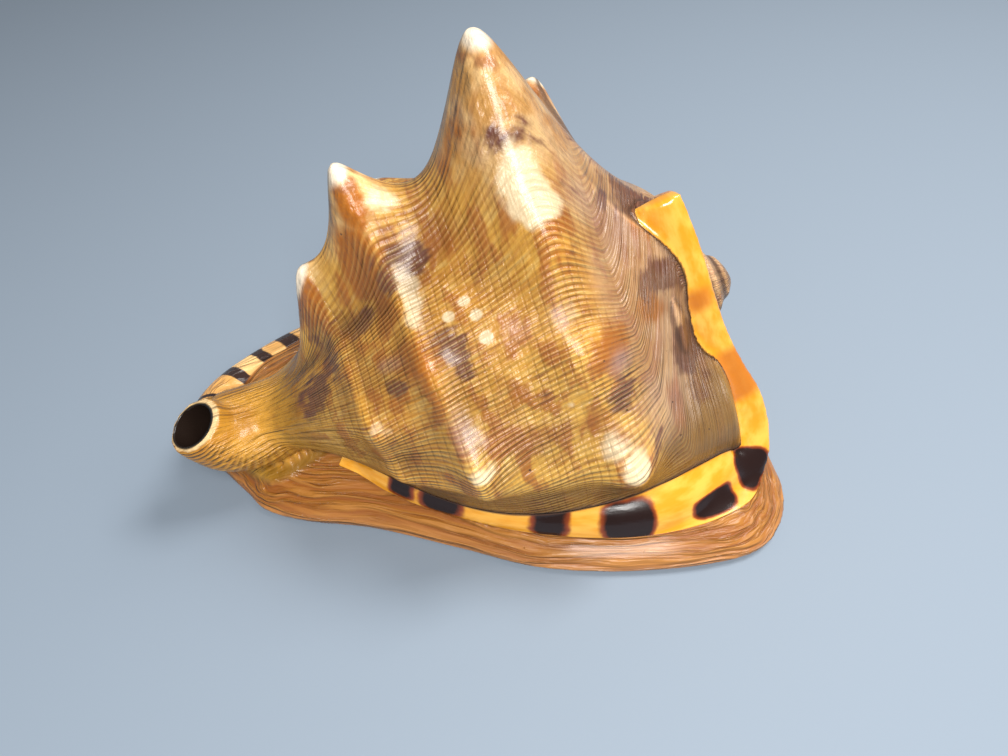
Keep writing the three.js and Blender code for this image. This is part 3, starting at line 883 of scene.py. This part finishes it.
# %% Canal and lip colours
CANAL_DARK, CANAL_PALE = (0.37, 0.15, 0.012), (0.54, 0.26, 0.03)
CANAL_SCALE, CANAL_EDGE = (0.25, 0.085, 0.01), (0.74, 0.54, 0.28)
LIP_DARK, LIP_PALE, LIP_BAR = (0.62, 0.31, 0.08), (0.80, 0.50, 0.20), (0.03, 0.012, 0.008)
scales = (field["canal_along"] * 2.2 + warp * 6.0 + field["canal_under"] * 0.12).sin() * 0.5 + 0.5
scales = 1 - (1 - scales) * field["canal_under"].between(-5, 3)
canal_paint = noise(60).between(0.35, 0.65).tint(CANAL_DARK, CANAL_PALE)
canal_paint = ((1 - scales) ** 2.0 * 0.55).tint(canal_paint, CANAL_SCALE)
canal_paint = (field["canal_along"].between(50, 51.4) * 0.8).tint(canal_paint, CANAL_EDGE)
lip_paint = noise(40).between(0.35, 0.65).tint(LIP_DARK, LIP_PALE)
lip_bar = field["lip_bars"] + (noise(200, 2) - 0.5) * 2.0
lip_paint = lip_bar.between(-0.4, 0.5).tint(lip_paint, LIP_BAR)
print("nodes so far:", len(tree.nodes))

# %% [markdown]
# Mixing the surfaces
#
# The fields say where one surface ends and the next begins, so the borders stay sharp
# without any seam in the mesh. The same masks choose between the kinds of low relief,
# which a Bump node adds: cords and wrinkles are far finer than the faces of the skin.

# %% Mix the surfaces
# painted shade: the first colour is near black for the inside of the canal's bore, the second dark brown for
# the creases where rim, shield and lip meet the whorl
BORE_PAINTED_SHADE, CREASE_PAINTED_SHADE = (0.012, 0.007, 0.005), (0.06, 0.025, 0.012)
grown_over = field["over_body"] + warp * 0.8
is_shield = grown_over.between(0.5, 0.9) * field["height"].between(42, 37)
is_shield = is_shield * field["on_canal"].between(-0.5, -3)
is_rim = (field["on_rim"] + warp * 0.6).between(-0.15, 0.15)
is_lip = field["on_lip"].between(0.0, 0.8)
is_canal = field["on_canal"].between(0.0, 3.5)
is_bore = field["in_bore"].between(-0.3, 0.3)
colour = is_shield.tint(body, shield_paint)
colour = (is_lip * is_shield).tint(colour, lip_paint)
colour = is_canal.tint(colour, canal_paint)
colour = is_rim.tint(colour, rim_paint)
# painted shade fills the canal's bore
colour = is_bore.tint(colour, BORE_PAINTED_SHADE)
# painted shade in the crease just above the whorl, where rim, shield and lip grow over it
near_joint = field["over_body"].between(-0.6, 0.3)
crease_shade = near_joint * near_joint * field["over_body"].between(1.2, 0.6) * field["spiral"].between(172, 160)
colour = (crease_shade * 0.85).tint(colour, CREASE_PAINTED_SHADE)
print("nodes so far:", len(tree.nodes))

# %% Low relief and gloss
waves = noise(1.0, 3, grid(field["grow"] * 0.22, field["spiral"] * 0.035, 9.0))
worn = on_horn * (noise(150, 4) - 0.5)
body_relief = worn * 1.6 + (cord * 0.34 + line * -0.10 + thread * 0.05) * strong
body_relief = body_relief + fine * 0.05 + middling * 0.9 + waves * 2.2 + mottle * 1.6
shield_relief = is_shield * (wrinkle * 0.8 + layers * 0.9) * (1 - is_rim) * (1 - is_canal)
relief = body_relief * (1 - is_shield) * (1 - is_rim) + is_rim * rim_flow * 0.15 + shield_relief
relief = relief + is_canal * (1 - is_rim) * scales * 0.6 - pit * 0.3
relief = relief * field["in_bore"].between(0.5, -0.5)
bump = base.node("ShaderNodeBump", Strength=1.0, Distance=0.001, Height=relief)
rough = 0.26 + middling * 0.22 - is_rim * 0.16 - smooth_part * 0.08
coat = 0.22 - is_rim * bar_edge.between(0.0, 1.0) * 0.2 - is_bore * 0.2
shader = tree.nodes["Principled BSDF"]
for socket, value in (("Base Color", colour), ("Roughness", rough), ("Normal", bump), ("Coat Weight", coat)):
    tree.links.new(value.socket, shader.inputs[socket])
shader.inputs["Coat Roughness"].default_value = 0.16
shader.inputs["Specular IOR Level"].default_value = 0.42
print("skin material:", len(tree.nodes), "nodes")

# %% [markdown]
# The floor
#
# A plain, pale blue-grey plane receives the soft shadow. It is staging and no part of
# the shell, so it is marked as stage.

# %% Floor
bpy.ops.mesh.primitive_plane_add(size=6, location=(0, 0, 0))
floor = bpy.context.object
floor.name = "floor"
floor.data.materials.append(plain("floor_pale", (0.195, 0.24, 0.295), 0.7))
floor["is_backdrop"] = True
print("floor, in metres:", tuple(floor.dimensions))

# %% [markdown]
# The light
#
# Two area lamps give soft shadows and long highlights on the glossy shell: one from
# above on the right, one over the camera. A dim, even world fills the shadows. The
# Standard view transform keeps the strong amber as saturated as it is set.

# %% Lights
world = bpy.context.scene.world or bpy.data.worlds.new("studio")
bpy.context.scene.world = world
world.use_nodes = True
world.node_tree.nodes["Background"].inputs[0].default_value = (0.80, 0.82, 0.86, 1)
world.node_tree.nodes["Background"].inputs[1].default_value = 0.35


def lamp(name, location, size, power, colour):
    bpy.ops.object.light_add(type="AREA", location=location)
    light = bpy.context.object
    light.name = name
    light.data.size, light.data.energy, light.data.color = size, power, colour
    aim = -light.location.normalized()
    light.rotation_mode = "QUATERNION"
    light.rotation_quaternion = aim.to_track_quat("-Z", "Y")
    print(name, "light:", power, "W at", location)


WARM_WHITE = (1, 0.98, 0.95)
lamp("key", (0.5, 0.15, 0.85), 0.4, 10, WARM_WHITE)
lamp("front", (0.1, -0.62, 0.75), 0.35, 12.5, WARM_WHITE)
bpy.context.scene.view_settings.view_transform = "Standard"

# %% [markdown]
# The camera
#
# The camera looks down at the shell at 47 degrees and is turned a little about its own
# line of sight. Its place was found by lining up the horns, the rim and the canal.

# %% Camera
PITCH, ROLL = math.radians(47), math.radians(4)
PHOTO_WIDTH, FOCAL_LENGTH, SENSOR = 1008, 757, 36
CAMERA_AT = np.array([-6.0, -211.0, 238.0])
level_right = np.array([1.0, 0, 0])
level_up = np.array([0, math.sin(PITCH), math.cos(PITCH)])
forward = np.array([0, math.cos(PITCH), -math.sin(PITCH)])
bpy.ops.object.camera_add()
camera = bpy.context.object
camera.data.sensor_width = SENSOR
camera.data.lens = FOCAL_LENGTH / PHOTO_WIDTH * SENSOR
camera.data.clip_start, camera.data.clip_end = 0.01, 20
pose = np.eye(4)
pose[:3, 0] = math.cos(ROLL) * level_right - math.sin(ROLL) * level_up
pose[:3, 1] = math.sin(ROLL) * level_right + math.cos(ROLL) * level_up
pose[:3, 2] = -forward
pose[:3, 3] = (CAMERA_AT - CENTRE) / 1000
camera.matrix_world = Matrix(pose.tolist())
bpy.context.scene.camera = camera
print("lens, mm:", round(camera.data.lens, 2))

# %% Sizes
low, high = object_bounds()
print("visual box in mm:", [round(1000 * (h - l), 1) for l, h in zip(low, high)])
